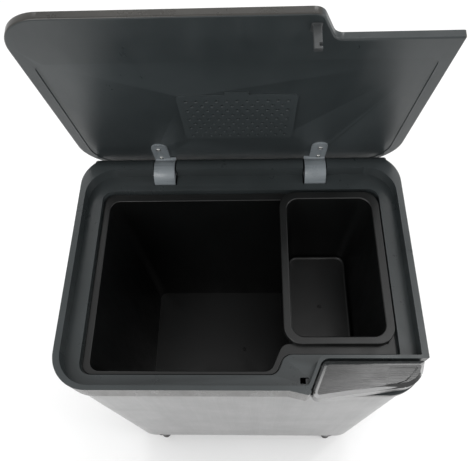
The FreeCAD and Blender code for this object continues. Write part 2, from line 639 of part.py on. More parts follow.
def make_touch_bar():
    plate = Piece("touch_bar_plate")
    shoulder = "bar_top - bar_fall"
    plate.pad([bar_outline()], "bar_low", shoulder)
    plate.loft("AdditiveLoft", bar_outline(), shoulder, bar_outline("bar_bevel"), "bar_top")
    plate.pocket([bar_outline("bar_wall")], "bar_low - 1", f"{shoulder} - bar_wall")
    plate.loft("SubtractiveLoft", bar_outline("bar_wall"), f"{shoulder} - bar_wall",
               bar_outline("(bar_bevel + bar_wall)"), "bar_top - bar_wall")
    plate.pocket([rectangle("strike_x", "notch_x + 20", "latch_mid - latch_width / 2 - 0.6",
                            "latch_mid + latch_width / 2 + 0.6", "0.3")], "bar_low - 1", "latch_top + 7")
    plate.pocket([dimple_outline()], "bar_top - dimple_depth", "bar_top + 1")
    keep(plate)
    carrier = Piece("touch_bar_carrier")
    top = "(bar_top - bar_fall - bar_wall)"
    low = f"{top} - carrier_height"
    carrier.pad([bar_outline("bar_wall")], low, top)
    carrier.pocket([bar_outline("bar_wall * 3")], f"{low} - 1", f"{top} - 2.5")
    start = f"{ear_edges(True)[1]} + side_gap"
    block = rectangle("bar_pivot_x - bar_barrel", "bar_pivot_x + bar_barrel", start,
                      f"{start} + bar_barrel_length", "0.5")
    carrier.pad([block], "bar_pivot_z", f"{top} - 1")
    carrier.pad([circle("bar_pivot_x", "bar_pivot_z", "bar_barrel")], start, f"{start} + bar_barrel_length",
                plane="XZ")
    carrier.pocket([circle("bar_pivot_x", "bar_pivot_z", "bar_pin_radius + bar_pin_gap")], f"{start} - 0.1",
                   f"{start} + bar_barrel_length + 0.1", plane="XZ")
    ramp = "latch_top + latch_post + cam_gap"
    cam = [("cam_x - 4", f"{top} - 1"), ("cam_x - 4", "latch_top + cam_rise"),
           ("cam_x + cam_rise - latch_post - cam_gap", "latch_top + cam_rise"),
           ("cam_x + 5", f"{ramp} + 5"), ("cam_x + 5", f"{top} - 1")]
    carrier.pad([cam], "latch_mid - cam_width / 2", "latch_mid + cam_width / 2", plane="XZ")
    keep(carrier)
    pin = cylinder("touch_bar_pin", "bar_pin_radius", f"{ear_edges(False)[1]} - {ear_edges(True)[0]}",
                   "bar_pivot_x", ear_edges(True)[0], "bar_pivot_z", (0, 1, 0))
    keep(pin)
    spring_x, spring_y = "bar_pivot_x - bar_spring_x", "-half_depth + bar_spring_y"
    spring = coil("touch_bar_spring", "bar_spring_radius", "bar_spring_wire", "bar_spring_turns",
                  f"{top} - 2.5 - tray_top - 2 * bar_spring_wire", spring_x, spring_y,
                  "tray_top + bar_spring_wire")
    keep(spring)


def make_latch():
    bolt = Piece("latch_bolt")
    side = "latch_width / 2"
    post = [("cam_x", "latch_top - latch_height / 2"), ("cam_x", "latch_top + latch_post"),
            ("cam_x + latch_ramp", "latch_top + latch_post + latch_ramp"),
            ("cam_x + latch_head", "latch_top + latch_post + latch_ramp"),
            ("cam_x + latch_head", "latch_top - latch_height / 2")]
    tip = rectangle("strike_x - latch_reach", "cam_x + latch_head", f"latch_mid - {side}",
                    f"latch_mid + {side}", "1")
    bolt.pad([tip], "latch_top - latch_height", "latch_top")
    bolt.pad([post], f"latch_mid - {side}", f"latch_mid + {side}", plane="XZ")
    keep(bolt)


# ---------------------------------------------------------------- lid
def make_lid():
    liner = Piece("lid_liner", on_lid=True)
    liner.pad([lid_outline()], "lid_low", "lid_high")
    liner.pocket([lid_outline("lid_wall")], "skin_top", "lid_high + 1")
    panel = notched_panel()
    liner.pocket([panel], "lid_low - 1", "lid_face")
    window = filter_outline("filter_ledge")
    liner.pocket([window], "lid_low - 1", "skin_top + 1")
    liner.pocket(hook_outlines("1.3", "0.6"), "lid_low - 1", "skin_top + 1")
    liner.pocket([circle("pad_screw_x", y, "arm_screw_shank") for y in arm_screw_places()]
                 + [circle("-pad_screw_x", y, "arm_screw_shank") for y in arm_screw_places()],
                 "lid_low - 1", "skin_top + 1")
    liner.pocket([circle("strike_x - striker_width / 2", "strike_screw_y", "striker_screw_radius / 2")],
                 "lid_low - 1", "skin_top + 1")
    low = value("lid_low") - value("pivot_z")
    liner.round("lid_edge_round", lambda middle, box: near(box.ZMin, low) and near(box.ZMax, low)
                and on_outside(box))
    keep(liner)
    cover = Piece("lid_cover", on_lid=True)
    cover.pad([lid_outline("cover_inset")], "lid_high", "lid_high + cover_thickness")
    cover.round("cover_round", flat_at(value("lid_high") + value("cover_thickness") - value("pivot_z")))
    keep(cover)


def on_outside(box):
    """Edges on the lid's outer outline, in the hinge's frame."""
    y_low, y_high = box.YMin + value("pivot_y"), box.YMax + value("pivot_y")
    if max(abs(box.XMin), abs(box.XMax)) > value("half_width") - 0.5:
        return True
    if y_low < -value("half_depth") + 0.5 or y_high > value("half_depth") - 0.5:
        return True
    return y_high < value("notch_y") + 0.5 and box.XMin > value("notch_x") - 5


def notched_panel():
    """The slightly sunk panel on the lid's underside, behind the crease."""
    side, front, back = "half_width - panel_side", "-half_depth + panel_front", "half_depth - panel_back"
    round_back = "lid_rear_corner - panel_side"
    return [(f"-({side})", front, "panel_corner"), (side, front, "panel_corner"), (side, back, round_back),
            (f"-({side})", back, round_back)]


def filter_outline(inset="0", corner="filter_corner"):
    return rectangle(f"filter_x - filter_width / 2 + {inset}", f"filter_x + filter_width / 2 - {inset}",
                     f"filter_fore + {inset}", f"filter_rear - {inset}", corner)


def hook_outlines(before, behind):
    outlines = []
    for side in ("-", ""):
        middle = f"filter_x + {side}filter_hook_x"
        outlines.append(rectangle(f"{middle} - filter_hook_width / 2 - {before} / 3",
                                  f"{middle} + filter_hook_width / 2 + {before} / 3",
                                  f"filter_rear - filter_hook_wall - {before}", f"filter_rear + {behind}", "0.4"))
    return outlines


def arm_screw_places():
    return ("pivot_y - arm_screw_front", "pivot_y - arm_screw_back")


def make_filter():
    cover = Piece("filter_cover", on_lid=True)
    top = "lid_face - filter_gap"
    cover.pad([filter_outline()], f"{top} - filter_thickness", top)
    cover.pad([rectangle("filter_x - filter_tab / 2", "filter_x + filter_tab / 2", "filter_fore - filter_tab_reach",
                         "filter_fore + 2", "1.5")], f"{top} - filter_thickness", top)
    cover.pad(hook_outlines("0", "0"), f"{top} - 0.5", f"{top} + filter_hook_rise")
    holes = []
    for row in range(9):
        for column in range(11 - row % 2):
            x = f"filter_x + {14.6 * (column - 5 + row % 2 / 2):.2f}"
            holes.append(circle(x, f"filter_fore + 14 + {row * 12.8:.2f}", "1.6"))
    cover.pocket(holes, f"{top} - filter_thickness - 0.1", f"{top} + 0.1")
    keep(cover)
    pad = Piece("filter_pad", on_lid=True)
    pad.pad([filter_outline("(filter_ledge - 3)")], "skin_top", "skin_top + pad_thickness")
    keep(pad)


def make_striker():
    striker = Piece("lid_striker", on_lid=True)
    thick = "striker_thickness / 2"
    blade = rectangle("strike_x - striker_width", "strike_x", f"latch_mid - {thick}", f"latch_mid + {thick}", "1")
    striker.pad([blade], "lid_low - striker_length", "lid_low")
    base = rectangle("strike_x - striker_width - 1.5", "strike_x + 1.5", f"latch_mid - {thick} - 1",
                     f"latch_mid + {thick} + striker_flange", "2")
    striker.pad([base], "lid_low - striker_base", "lid_low")
    mouth = [("strike_x - latch_reach - striker_slack", "latch_top - latch_height - striker_slack"),
             ("strike_x - latch_reach - striker_slack", "latch_top + striker_slack"),
             ("strike_x + 1", "latch_top + striker_slack"),
             ("strike_x + 1", "latch_top - latch_height - striker_slack")]
    striker.pocket([mouth], f"latch_mid - {thick} - 1", f"latch_mid + {thick} + 1", plane="XZ")
    striker.pocket([circle("strike_x - striker_width / 2", "strike_screw_y", "striker_screw_radius / 2")],
                   "lid_low - striker_base - 1", "lid_low + 1")
    keep(striker)
    screw = Piece("striker_screw", on_lid=True)
    screw.pad([circle("strike_x - striker_width / 2", "strike_screw_y", "striker_screw_radius / 2")],
              "lid_low - striker_base", "skin_top")
    screw.pad([circle("strike_x - striker_width / 2", "strike_screw_y", "striker_screw_radius")],
              "lid_low - striker_base - 1.6", "lid_low - striker_base")
    keep(screw)


# ---------------------------------------------------------------- hinge
def span(side, low, high):
    """A stretch along X on the right side, or its mirror on the left."""
    return (low, high) if side == "right" else (f"-({high})", f"-({low})")


def make_hinge(side):
    arm = Piece(f"hinge_arm_{side}", on_lid=True)
    inner, outer = "hinge_x - arm_width / 2", "hinge_x + arm_width / 2"
    drum = circle("pivot_y", "pivot_z", "arm_radius")
    hollow = circle("pivot_y", "pivot_z", "arm_radius - arm_thickness")
    arm.pad([drum, hollow], *span(side, inner, outer), plane="YZ")
    arm.pad([drum], *span(side, inner, f"{inner} + arm_cheek"), plane="YZ")
    arm.pad([drum], *span(side, f"{outer} - arm_cheek", outer), plane="YZ")
    far = "(arm_radius * 2)"
    wedge = [("pivot_y", "pivot_z"), ("pivot_y", f"pivot_z - {far}"), (f"pivot_y + {far}", f"pivot_z - {far}"),
             (f"pivot_y + {far}", f"pivot_z + {far}"), (f"pivot_y - {far}", f"pivot_z + {far}"),
             (f"pivot_y - {far} * cos(180 deg - arm_start * 1 deg)",
              f"pivot_z + {far} * sin(180 deg - arm_start * 1 deg)")]
    arm.pocket([wedge], *span(side, f"{inner} - 1", f"{outer} + 1"), plane="YZ")
    boss = circle("pivot_y", "pivot_z", "hinge_boss")
    arm.pad([boss], *span(side, inner, f"{inner} + arm_cheek"), plane="YZ")
    arm.pad([boss], *span(side, f"{outer} - arm_cheek", outer), plane="YZ")
    neck = [("pivot_y - 14.2", "lid_face - 1"), ("pivot_y - arm_radius * 0.54", "pivot_z + arm_radius * 0.84"),
            ("pivot_y - arm_radius * 0.47", "pivot_z + arm_radius * 0.74"),
            ("pivot_y - plate_rear - 0.4", "pivot_z + arm_radius * 0.79"),
            ("pivot_y - plate_rear", "lid_face - 1")]
    arm.pad([neck], *span(side, inner, outer), plane="YZ")
    sign = "" if side == "right" else "-"
    left, right = span(side, "plate_x - plate_width / 2", "plate_x + plate_width / 2")
    plate = [(left, "pivot_y - plate_rear", "2"), (left, "pivot_y - plate_front", "plate_width / 2 - 0.5"),
             (right, "pivot_y - plate_front", "plate_width / 2 - 0.5"), (right, "pivot_y - plate_rear", "2")]
    arm.pad([plate], "lid_face - plate_thickness", "lid_face")
    holes = [circle(f"{sign}pad_screw_x", y, "arm_screw_shank") for y in arm_screw_places()]
    arm.pocket(holes, "lid_face - plate_thickness - 1", "lid_face + 1")
    bore = circle("pivot_y", "pivot_z", "hinge_pin_radius + hinge_fit")
    arm.pocket([bore], *span(side, f"{inner} - 1", f"{outer} + 1"), plane="YZ")
    keep(arm)
    screws = Piece(f"arm_screws_{side}_front", on_lid=True)
    make_arm_screw(screws, f"{sign}pad_screw_x", arm_screw_places()[0])
    rear = Piece(f"arm_screws_{side}_rear", on_lid=True)
    make_arm_screw(rear, f"{sign}pad_screw_x", arm_screw_places()[1])
    keep(group(f"arm_screws_{side}", [screws.body, rear.body]))
    make_bracket(side)


def make_arm_screw(piece, x, y):
    piece.pad([circle(x, y, "arm_screw_shank")], "lid_face - plate_thickness", "skin_top")
    low = "lid_face - plate_thickness"
    piece.pad([circle(x, y, "arm_screw_head")], f"{low} - arm_screw_cap", low)
    piece.round("arm_screw_cap * 0.6", flat_at(value(f"{low} - arm_screw_cap - pivot_z")))


def make_bracket(side):
    bracket = Piece(f"hinge_bracket_{side}")
    wall = "half_depth - band_wall"
    first = "hinge_x - arm_width / 2 + arm_cheek + lug_slack"
    last = "hinge_x + arm_width / 2 - arm_cheek - lug_slack"
    lugs = [span(side, first, f"{first} + lug_width"), span(side, f"{last} - lug_width", last)]
    left, right = span(side, first, last)
    bracket.pad([rectangle(left, right, f"{wall} - bracket_plate", wall, "0.5")],
                "tray_top", "tray_top + bracket_height")
    for low, high in lugs:
        bracket.pad([[("pivot_y", "pivot_z - lug_radius"), (wall, "pivot_z - lug_radius"),
                      (wall, "pivot_z + lug_radius"), ("pivot_y", "pivot_z + lug_radius")]], low, high, plane="YZ")
        bracket.pad([circle("pivot_y", "pivot_z", "lug_radius")], low, high, plane="YZ")
        bracket.pocket([circle("pivot_y", "pivot_z", "hinge_pin_radius")], f"{low} - 0.1", f"{high} + 0.1",
                       plane="YZ")
    sign = "" if side == "right" else "-"
    for height in BRACKET_SCREWS:
        bracket.pocket([circle(f"{sign}hinge_x", height, "bracket_screw_radius")],
                       f"{wall} - bracket_plate - 1", f"{wall} + 1", plane="XZ")
    keep(bracket)
    screws = []
    for height in BRACKET_SCREWS:
        tag = f"{side}{len(screws)}"
        start = f"{wall} - bracket_plate"
        shank = cylinder(f"bracket_screw_shank_{tag}", "bracket_screw_radius", "bracket_plate + screw_bite",
                         f"{sign}hinge_x", start, height, (0, 1, 0))
        head = cylinder(f"bracket_screw_head_{tag}", "bracket_screw_radius * 2", "1.6",
                        f"{sign}hinge_x", f"{start} - 1.6", height, (0, 1, 0))
        screws.append(union(f"bracket_screw_{tag}", [shank, head]))
    keep(group(f"bracket_screws_{side}", screws))
    low, high = span(side, "hinge_x - arm_width / 2 - 0.5", "hinge_x + arm_width / 2 + 0.5")
    keep(cylinder(f"hinge_pin_{side}", "hinge_pin_radius", f"{high} - ({low})", low, "pivot_y", "pivot_z",
                  (1, 0, 0)))
    turns = span(side, f"{first} + lug_width + 1 + hinge_spring_wire",
                 f"{last} - lug_width - 1 - hinge_spring_wire")
    keep(coil(f"hinge_spring_{side}", "hinge_spring_radius", "hinge_spring_wire", "hinge_spring_turns",
              f"{turns[1]} - ({turns[0]})", turns[0], "pivot_y", "pivot_z", (1, 0, 0)))


BRACKET_SCREWS = ("tray_top + 5", "tray_top + bracket_height - 5")


def make_screw_sockets(frame):
    wall = "half_depth - band_wall"
    for height in BRACKET_SCREWS:
        sockets = [circle("hinge_x", height, "bracket_screw_radius"),
                   circle("-hinge_x", height, "bracket_screw_radius")]
        frame.pocket(sockets, f"{wall} - 0.5", f"{wall} + screw_bite", plane="XZ")


make_shell()
make_base()
make_legs()
make_frame()
make_main_bucket()
make_caddy()
make_touch_bar()
make_latch()
make_lid()
make_filter()
make_striker()
make_hinge("left")
make_hinge("right")
doc.recompute()

for obj in NODES:
    bad = [state for state in obj.State if state in ("Invalid", "Error")]
    if bad or obj.Shape.isNull() or not obj.Shape.isValid():
        raise RuntimeError(f"{obj.Label} is not a sound shape: {obj.State}")
os.makedirs("parts", exist_ok=True)
for obj in NODES:
    obj.Shape.exportStep(f"parts/{obj.Label}.step")
print(len(NODES), "nodes written")
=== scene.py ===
import json
import math

import bmesh
import bpy
from mathutils import Matrix, Vector

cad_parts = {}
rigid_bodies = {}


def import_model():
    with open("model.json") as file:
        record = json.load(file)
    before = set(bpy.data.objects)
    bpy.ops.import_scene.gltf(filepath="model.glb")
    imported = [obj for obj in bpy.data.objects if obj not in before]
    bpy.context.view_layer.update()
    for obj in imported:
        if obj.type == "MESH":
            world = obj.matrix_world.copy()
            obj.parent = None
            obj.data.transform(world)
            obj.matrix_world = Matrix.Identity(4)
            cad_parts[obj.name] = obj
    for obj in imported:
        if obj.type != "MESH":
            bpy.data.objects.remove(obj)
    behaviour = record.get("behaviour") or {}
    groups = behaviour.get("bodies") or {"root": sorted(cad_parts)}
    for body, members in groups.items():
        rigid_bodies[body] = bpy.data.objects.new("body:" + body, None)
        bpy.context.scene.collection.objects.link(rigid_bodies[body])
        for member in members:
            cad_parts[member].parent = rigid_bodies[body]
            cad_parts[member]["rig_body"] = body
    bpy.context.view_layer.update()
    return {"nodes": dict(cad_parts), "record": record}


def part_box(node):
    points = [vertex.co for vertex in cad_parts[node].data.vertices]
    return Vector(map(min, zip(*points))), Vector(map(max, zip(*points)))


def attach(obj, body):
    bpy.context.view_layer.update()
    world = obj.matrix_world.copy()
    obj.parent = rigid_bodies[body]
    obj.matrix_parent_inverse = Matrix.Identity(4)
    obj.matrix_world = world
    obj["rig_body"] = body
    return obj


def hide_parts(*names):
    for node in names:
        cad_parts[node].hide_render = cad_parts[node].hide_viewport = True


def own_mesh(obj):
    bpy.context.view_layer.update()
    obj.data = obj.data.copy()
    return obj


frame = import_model()
NODES = frame["nodes"]


# ---------------------------------------------------------------- camera
def look_from(place, yaw, pitch, roll, lens):
    """A camera at place, turned by yaw from +Y towards +X, down by pitch and about its own axis by roll."""
    yaw, pitch, roll = (math.radians(a) for a in (yaw, pitch, roll))
    ahead = Vector((math.sin(yaw) * math.cos(pitch), math.cos(yaw) * math.cos(pitch), -math.sin(pitch)))
    right = ahead.cross(Vector((0, 0, 1))).normalized()
    up = right.cross(ahead)
    right, up = (math.cos(roll) * right + math.sin(roll) * up, math.cos(roll) * up - math.sin(roll) * right)
    data = bpy.data.cameras.new("camera")
    data.lens = lens
    data.sensor_width = 36
    data.clip_start = 0.05
    camera = bpy.data.objects.new("camera", data)
    bpy.context.scene.collection.objects.link(camera)
    turn = Matrix((right, up, -ahead)).transposed().to_4x4()
    camera.matrix_world = Matrix.Translation(place) @ turn
    bpy.context.scene.camera = camera


look_from((0.0210, -0.3336, 1.4451), yaw=-4.21, pitch=62.735, roll=-4.157, lens=39.95)


# ---------------------------------------------------------------- materials
class Paint:
    """A material with its Principled shader, built from node helpers."""

    def __init__(self, name, roughness, metallic=0.0, specular=0.5):
        self.material = bpy.data.materials.new(name)
        self.material.use_nodes = True
        self.tree = self.material.node_tree
        self.shader = self.tree.nodes["Principled BSDF"]
        self.shader.inputs["Roughness"].default_value = roughness
        self.shader.inputs["Metallic"].default_value = metallic
        self.shader.inputs["Specular IOR Level"].default_value = specular
        self.place = self.node("ShaderNodeTexCoord").outputs["Object"]
        self.normal = None

    def node(self, kind, **settings):
        made = self.tree.nodes.new(kind)
        for key, setting in settings.items():
            setattr(made, key, setting)
        return made

    def join(self, source, target):
        self.tree.links.new(source, target)

    def scaled(self, size):
        mapping = self.node("ShaderNodeMapping")
        self.join(self.place, mapping.inputs["Vector"])
        mapping.inputs["Scale"].default_value = size
        return mapping.outputs["Vector"]

    def noise(self, size, detail, roughness=0.6):
        """Noise with about size changes to the metre along each axis."""
        made = self.node("ShaderNodeTexNoise")
        self.join(self.scaled(size), made.inputs["Vector"])
        made.inputs["Scale"].default_value = 1.0
        made.inputs["Detail"].default_value = detail
        made.inputs["Roughness"].default_value = roughness
        return made.outputs["Fac"]

    def spread(self, value, low, high, first=0.3, last=0.7):
        """Maps a noise value from first..last to low..high."""
        made = self.node("ShaderNodeMapRange")
        self.join(value, made.inputs["Value"])
        for key, number in zip(("From Min", "From Max", "To Min", "To Max"), (first, last, low, high)):
            made.inputs[key].default_value = number
        return made.outputs["Result"]

    def blend(self, value, first, last):
        made = self.node("ShaderNodeMix", data_type="RGBA")
        self.join(value, made.inputs["Factor"])
        for socket, colour in ((made.inputs[6], first), (made.inputs[7], last)):
            if hasattr(colour, "is_linked"):
                self.join(colour, socket)
            else:
                socket.default_value = (*colour, 1)
        return made.outputs[2]

    def bump(self, height, strength, distance):
        made = self.node("ShaderNodeBump")
        made.inputs["Strength"].default_value = strength
        made.inputs["Distance"].default_value = distance
        self.join(height, made.inputs["Height"])
        if self.normal is not None:
            self.join(self.normal, made.inputs["Normal"])
        self.normal = made.outputs["Normal"]
        self.join(self.normal, self.shader.inputs["Normal"])

    def colour(self, value):
        self.join(value, self.shader.inputs["Base Color"])

    def rough(self, value):
        self.join(value, self.shader.inputs["Roughness"])

    def edges(self):
        """High along convex edges, from the mesh's pointiness."""
        pointiness = self.node("ShaderNodeNewGeometry").outputs["Pointiness"]
        return self.spread(pointiness, 0, 1, first=0.5, last=0.62)


def plastic(name, dark, light, roughness, grain=0.00006, wear=0.25, dust=0.5):
    """Moulded plastic: fine grain, cloudy sheen, rubbed edges and a little dust all over."""
    paint = Paint(name, roughness)
    clouds = paint.noise((9, 9, 9), 5)
    base = paint.blend(paint.spread(clouds, 0, 1), dark, light)
    rubbed = paint.node("ShaderNodeMath", operation="MULTIPLY")
    paint.join(paint.edges(), rubbed.inputs[0])
    rubbed.inputs[1].default_value = wear
    worn = tuple(min(1, c * 2.2 + 0.02) for c in light)
    base = paint.blend(rubbed.outputs[0], base, worn)
    specks = paint.spread(paint.noise((900, 900, 900), 2), 0, dust, first=0.66, last=0.8)
    base = paint.blend(specks, base, tuple(c + 0.05 for c in light))
    paint.colour(base)
    smears = paint.noise((26, 26, 7), 6, 0.7)
    paint.rough(paint.spread(smears, roughness - 0.06, roughness + 0.08))
    paint.bump(paint.noise((1500, 1500, 1500), 2), strength=0.35, distance=grain)
    paint.bump(paint.noise((60, 60, 60), 3), strength=0.12, distance=grain * 3)
    return paint.material


def brushed(name, dark, light, roughness, along, scratch=0.22):
    """Brushed steel: long fine lines along one axis, faint bands and finger marks."""
    paint = Paint(name, roughness, metallic=1.0)
    fine = [1400, 1400, 1400]
    fine[along] = 9
    broad = [70, 70, 70]
    broad[along] = 1.5
    lines = paint.noise(tuple(fine), 3, 0.7)
    bands = paint.noise(tuple(broad), 3)
    base = paint.blend(paint.spread(lines, 0, 1), dark, light)
    base = paint.blend(paint.spread(bands, 0, 0.35), base, tuple(c * 0.8 for c in dark))
    paint.colour(base)
    marks = paint.noise((11, 11, 11), 6, 0.65)
    mixed = paint.node("ShaderNodeMath", operation="ADD")
    paint.join(paint.spread(lines, -0.06, 0.08), mixed.inputs[0])
    paint.join(paint.spread(marks, roughness - 0.03, roughness + 0.06), mixed.inputs[1])
    paint.rough(mixed.outputs[0])
    paint.shader.inputs["Anisotropic"].default_value = 0.5
    paint.bump(lines, strength=scratch, distance=0.00003)
    return paint.material


def metal(name, colour, roughness):
    """Plated or drawn metal, a little uneven in colour and sheen."""
    paint = Paint(name, roughness, metallic=1.0)
    spots = paint.noise((500, 500, 500), 4)
    paint.colour(paint.blend(paint.spread(spots, 0, 1), tuple(c * 0.82 for c in colour), colour))
    paint.rough(paint.spread(paint.noise((160, 160, 160), 4), roughness - 0.07, roughness + 0.1))
    paint.bump(spots, strength=0.15, distance=0.00004)
    return paint.material


def foam(name):
    """Open black foam, with cells of under two millimetres."""
    paint = Paint(name, 0.95, specular=0.1)
    cells = paint.node("ShaderNodeTexVoronoi")
    paint.join(paint.scaled((600, 600, 600)), cells.inputs["Vector"])
    cells.inputs["Scale"].default_value = 1.0
    paint.colour(paint.blend(cells.outputs["Distance"], (0.012, 0.012, 0.012), (0.05, 0.05, 0.05)))
    paint.bump(cells.outputs["Distance"], strength=0.8, distance=0.0006)
    return paint.material


MATERIALS = {
    "shell_steel": brushed("shell_steel", (0.28, 0.28, 0.283), (0.35, 0.35, 0.35), 0.36, 2),
    "lid_steel": brushed("lid_steel", (0.40, 0.40, 0.405), (0.50, 0.50, 0.50), 0.34, 1),
    "bar_steel": brushed("bar_steel", (0.075, 0.075, 0.075), (0.095, 0.095, 0.095), 0.24, 0, 0.03),
    # The bar's steel again, painted bright: a painted highlight for the bar's sloping border.
    "bar_border_painted_highlight": brushed("bar_border_painted_highlight", (0.50, 0.50, 0.50), (0.60, 0.60, 0.60), 0.2, 0, 0.02),
    "frame_plastic": plastic("frame_plastic", (0.022, 0.027, 0.028), (0.033, 0.039, 0.041), 0.31),
    "liner_plastic": plastic("liner_plastic", (0.019, 0.024, 0.0255), (0.027, 0.033, 0.035), 0.33),
    "base_plastic": plastic("base_plastic", (0.02, 0.02, 0.02), (0.03, 0.03, 0.03), 0.55),
    # Black plastic, darkened further still as painted shade for the inside of the bin.
    "bucket_plastic": plastic("bucket_plastic", (0.0025, 0.0028, 0.0028), (0.005, 0.0055, 0.0055), 0.34),
    "arm_plastic": plastic("arm_plastic", (0.12, 0.135, 0.145), (0.16, 0.178, 0.19), 0.30),
    "latch_plastic": plastic("latch_plastic", (0.03, 0.033, 0.034), (0.045, 0.048, 0.05), 0.35),
    "leg_plastic": plastic("leg_plastic", (0.02, 0.02, 0.02), (0.032, 0.032, 0.032), 0.45),
    "pad_rubber": plastic("pad_rubber", (0.012, 0.012, 0.012), (0.02, 0.02, 0.02), 0.7, grain=0.00012),
    # Dark plastic with a warm tint painted in: painted reflection on the rim's and lid's outer band.
    "band_painted_reflection": plastic("band_painted_reflection", (0.022, 0.0205, 0.018), (0.034, 0.032, 0.028), 0.28, wear=0.12,
                            dust=0.15),
    "carbon_foam": foam("carbon_foam"),
    "zinc_screws": metal("zinc_screws", (0.75, 0.75, 0.73), 0.2),
    "pin_steel": metal("pin_steel", (0.55, 0.55, 0.55), 0.3),
    "spring_steel": metal("spring_steel", (0.36, 0.36, 0.37), 0.34),
}
SLOT = {part["node"]: part["material_slot"] for part in frame["record"]["subparts"]}


def finish_with(obj, slot):
    """Gives a piece one material in place of what it had."""
    obj.data.materials.clear()
    obj.data.materials.append(MATERIALS[slot])


# ---------------------------------------------------------------- mesh helpers
# Lengths are in metres, areas in square metres and angles in degrees.
# Points nearer than MERGE_DISTANCE become one point, and faces that turn less than FLAT_ANGLE one face.
MERGE_DISTANCE = 1e-6
FLAT_ANGLE = 0.5
# Edges sharper than SHARP_ANGLE are rounded, and faces larger than FLAT_AREA are shaded flat.
SHARP_ANGLE = 35
FLAT_AREA = 1.5e-4
# How far a cutter stands out of the surface that it cuts.
CUTTER_RISE = 0.004


def smooth_by_angle(mesh, degrees=32):
    """Smooth shading, broken where two faces meet at more than the angle."""
    work = bmesh.new()
    work.from_mesh(mesh)
    limit = math.radians(degrees)
    for face in work.faces:
        face.smooth = True
    for edge in work.edges:
        edge.smooth = len(edge.link_faces) == 2 and edge.calc_face_angle(0) < limit
    work.to_mesh(mesh)
    work.free()


def softened(node, width):
    """A copy of a CAD node's mesh with its sharp edges rounded, which stands for the node."""
    source = NODES[node]
    mesh = source.data.copy()
    work = bmesh.new()
    work.from_mesh(mesh)
    bmesh.ops.remove_doubles(work, verts=work.verts, dist=MERGE_DISTANCE)
    bmesh.ops.dissolve_limit(work, angle_limit=math.radians(FLAT_ANGLE), verts=work.verts, edges=work.edges)
    work.to_mesh(mesh)
    work.free()
    piece = bpy.data.objects.new(node + "_shown", mesh)
    bpy.context.scene.collection.objects.link(piece)
    bevel = piece.modifiers.new("round", "BEVEL")
    bevel.width = width
    bevel.segments = 2
    bevel.limit_method = "ANGLE"
    bevel.angle_limit = math.radians(SHARP_ANGLE)
    bevel.use_clamp_overlap = True
    bevel.miter_outer = "MITER_ARC"
    graph = bpy.context.evaluated_depsgraph_get()
    piece.data = bpy.data.meshes.new_from_object(piece.evaluated_get(graph))
    piece.modifiers.clear()
    smooth_by_angle(piece.data)
    for face in piece.data.polygons:
        if face.area > FLAT_AREA:
            face.use_smooth = False
    finish_with(piece, SLOT[node])
    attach(piece, source["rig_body"])
    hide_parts(node)
    return piece


def mesh_object(name, points, faces):
    """A new object with that mesh, in the scene."""
    mesh = bpy.data.meshes.new(name)
    mesh.from_pydata(points, [], faces)
    made = bpy.data.objects.new(name, mesh)
    bpy.context.scene.collection.objects.link(made)
    return made


def sunk(outline, top, depth, floor_share):
    """A cutter with sloped walls: the outline at top, drawn in to floor_share of its size at the floor."""
    middle = sum((Vector(p) for p in outline), Vector((0, 0))) / len(outline)
    count = len(outline)
    rings = []
    for height, size in ((CUTTER_RISE, 1.0), (0.0, 1.0), (-depth, floor_share)):
        rings.append([(*(middle + (Vector(p) - middle) * size), top + height) for p in outline])
    points = [p for ring in rings for p in ring]
    faces = [tuple(range(count)), tuple(range(3 * count - 1, 2 * count - 1, -1))]
    for ring in range(2):
        upper, lower = ring * count, (ring + 1) * count
        for i in range(count):
            j = (i + 1) % count
            faces.append((upper + i, lower + i, lower + j, upper + j))
    return points, faces


def ring_faces(first, rings, count, closed):
    """Four-sided faces between rings of count points each, the first point being number first."""
    faces = []
    for ring in range(rings - 1):
        inner, outer = first + ring * count, first + (ring + 1) * count
        for step in range(count if closed else count - 1):
            after = (step + 1) % count
            faces.append((inner + step, inner + after, outer + after, outer + step))
    return faces


def cut_with(target, points, faces):
    """Cuts a closed mesh out of an object's mesh for good."""
    tool = mesh_object("tool", points, faces)
    work = bmesh.new()
    work.from_mesh(tool.data)
    bmesh.ops.recalc_face_normals(work, faces=work.faces)
    work.to_mesh(tool.data)
    work.free()
    cut = target.modifiers.new("cut", "BOOLEAN")
    cut.operation = "DIFFERENCE"
    cut.solver = "EXACT"
    cut.object = tool
    graph = bpy.context.evaluated_depsgraph_get()
    target.data = bpy.data.meshes.new_from_object(target.evaluated_get(graph))
    target.modifiers.clear()
    bpy.data.objects.remove(tool)


# ---------------------------------------------------------------- finishes of the CAD nodes
for name, obj in NODES.items():
    finish_with(obj, SLOT[name])
    smooth_by_angle(obj.data)


# ---------------------------------------------------------------- pieces that stand for CAD nodes
# Lengths are in metres and angles in degrees. Places on the lid are given as when it's shut.
LID_ANGLE = 79.5
HINGE = Vector((0, 0.179, 0.670))

# The band with a warm tint painted on as painted reflection: upright faces past this radius at the corners,
# or this far front or back.
CORNER_X, CORNER_Y = 0.2175, 0.145
BAND_RADIUS = 0.0525
BAND_Y = 0.197
UPRIGHT = 0.75

# The touch bar: its top, the outline of the thumb field, and the box that keeps the field's faces apart.
BAR_TOP = 0.6942
FIELD_DEPTH = 0.001
FIELD_FLOOR_SHARE = 0.88
THUMB_FIELD = ((0.2061, -0.1905), (0.2072, -0.1922), (0.2216, -0.1904), (0.2355, -0.1859),
               (0.2483, -0.1747), (0.2540, -0.1680), (0.2529, -0.1665), (0.2143, -0.1666),
               (0.2120, -0.1680))
FIELD_X = (0.203, 0.257)
FIELD_Y = (-0.194, -0.165)
BORDER_SLOPE = (0.15, 0.985)

